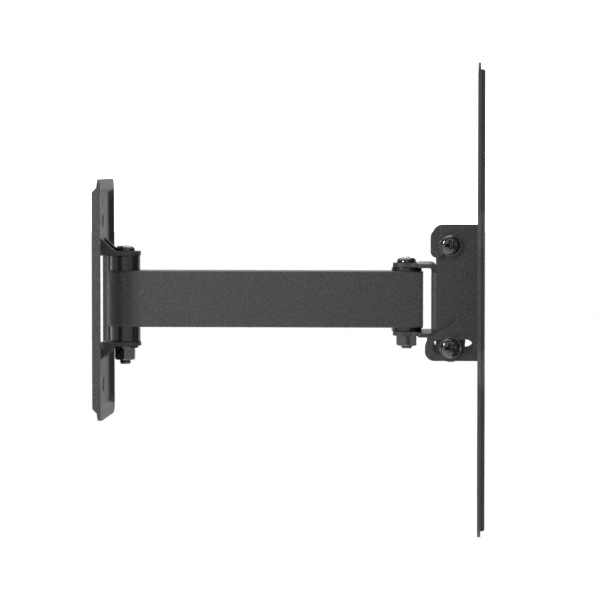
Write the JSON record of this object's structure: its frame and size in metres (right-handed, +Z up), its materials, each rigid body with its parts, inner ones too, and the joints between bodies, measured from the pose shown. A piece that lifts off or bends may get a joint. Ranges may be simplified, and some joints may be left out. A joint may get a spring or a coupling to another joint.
{
  "type": "full motion tv wall mount",
  "caption": "Full motion wall mount for a TV: a wall plate, one swinging arm, a swivel head and a tilting display plate with square bolt patterns.",
  "frame": {"origin": "on the wall plane, at the centre of the wall plate's back face, level with the arm's centre line", "axes": "+X out of the wall towards the display, +Y along the wall, +Z up"},
  "size_m": [0.1921, 0.22, 0.22],
  "materials": {
    "powder_coat": "fine textured matt black powder coat on steel",
    "black_fasteners": "glossy black plating",
    "zinc_sleeve": "bright zinc",
    "black_plastic": "glossy moulded black plastic",
    "nylon": "satin black nylon"
  },
  "bodies": {
    "wall": {"wall_plate": "powder_coat", "wall_pivot_bolt": "black_fasteners", "wall_pivot_sleeve": "zinc_sleeve", "wall_pivot_washer": "black_fasteners", "wall_pivot_nut": "black_fasteners", "wall_pivot_nut_insert": "nylon"},
    "arm": {"arm_tube": "powder_coat", "arm_end_cap": "black_plastic", "wall_upper_spacer": "black_plastic", "wall_lower_spacer": "black_plastic", "head_upper_bush": "black_plastic", "head_lower_bush": "black_plastic"},
    "head": {"swivel_bracket": "powder_coat", "head_pivot_bolt": "black_fasteners", "head_pivot_sleeve": "zinc_sleeve", "head_pivot_nut": "black_fasteners", "head_pivot_nut_insert": "nylon", "tilt_pivot_screws": "black_fasteners", "tilt_pivot_washers": "black_fasteners", "tilt_pivot_friction_washers": "nylon", "tilt_pivot_nuts": "black_fasteners", "tilt_pivot_nut_inserts": "nylon", "tilt_lock_screws": "black_fasteners", "tilt_lock_washers": "black_fasteners", "tilt_lock_friction_washers": "nylon", "tilt_lock_nuts": "black_fasteners", "tilt_lock_nut_inserts": "nylon"},
    "display": {"display_plate": "powder_coat"}
  },
  "joints": [
    {"name": "wall_swivel", "type": "hinge", "parent": "wall", "child": "arm", "pos_m": [0.0131, 0, 0], "axis": [0, 0, 1], "range_deg": [-90, 90]},
    {"name": "head_swivel", "type": "hinge", "parent": "arm", "child": "head", "pos_m": [0.1535, 0, 0], "axis": [0, 0, 1], "range_deg": [-90, 90]},
    {"name": "tilt", "type": "hinge", "parent": "head", "child": "display", "pos_m": [0.1755, 0, 0.0276], "axis": [0, 1, 0], "range_deg": [-5, 8]}
  ]
}
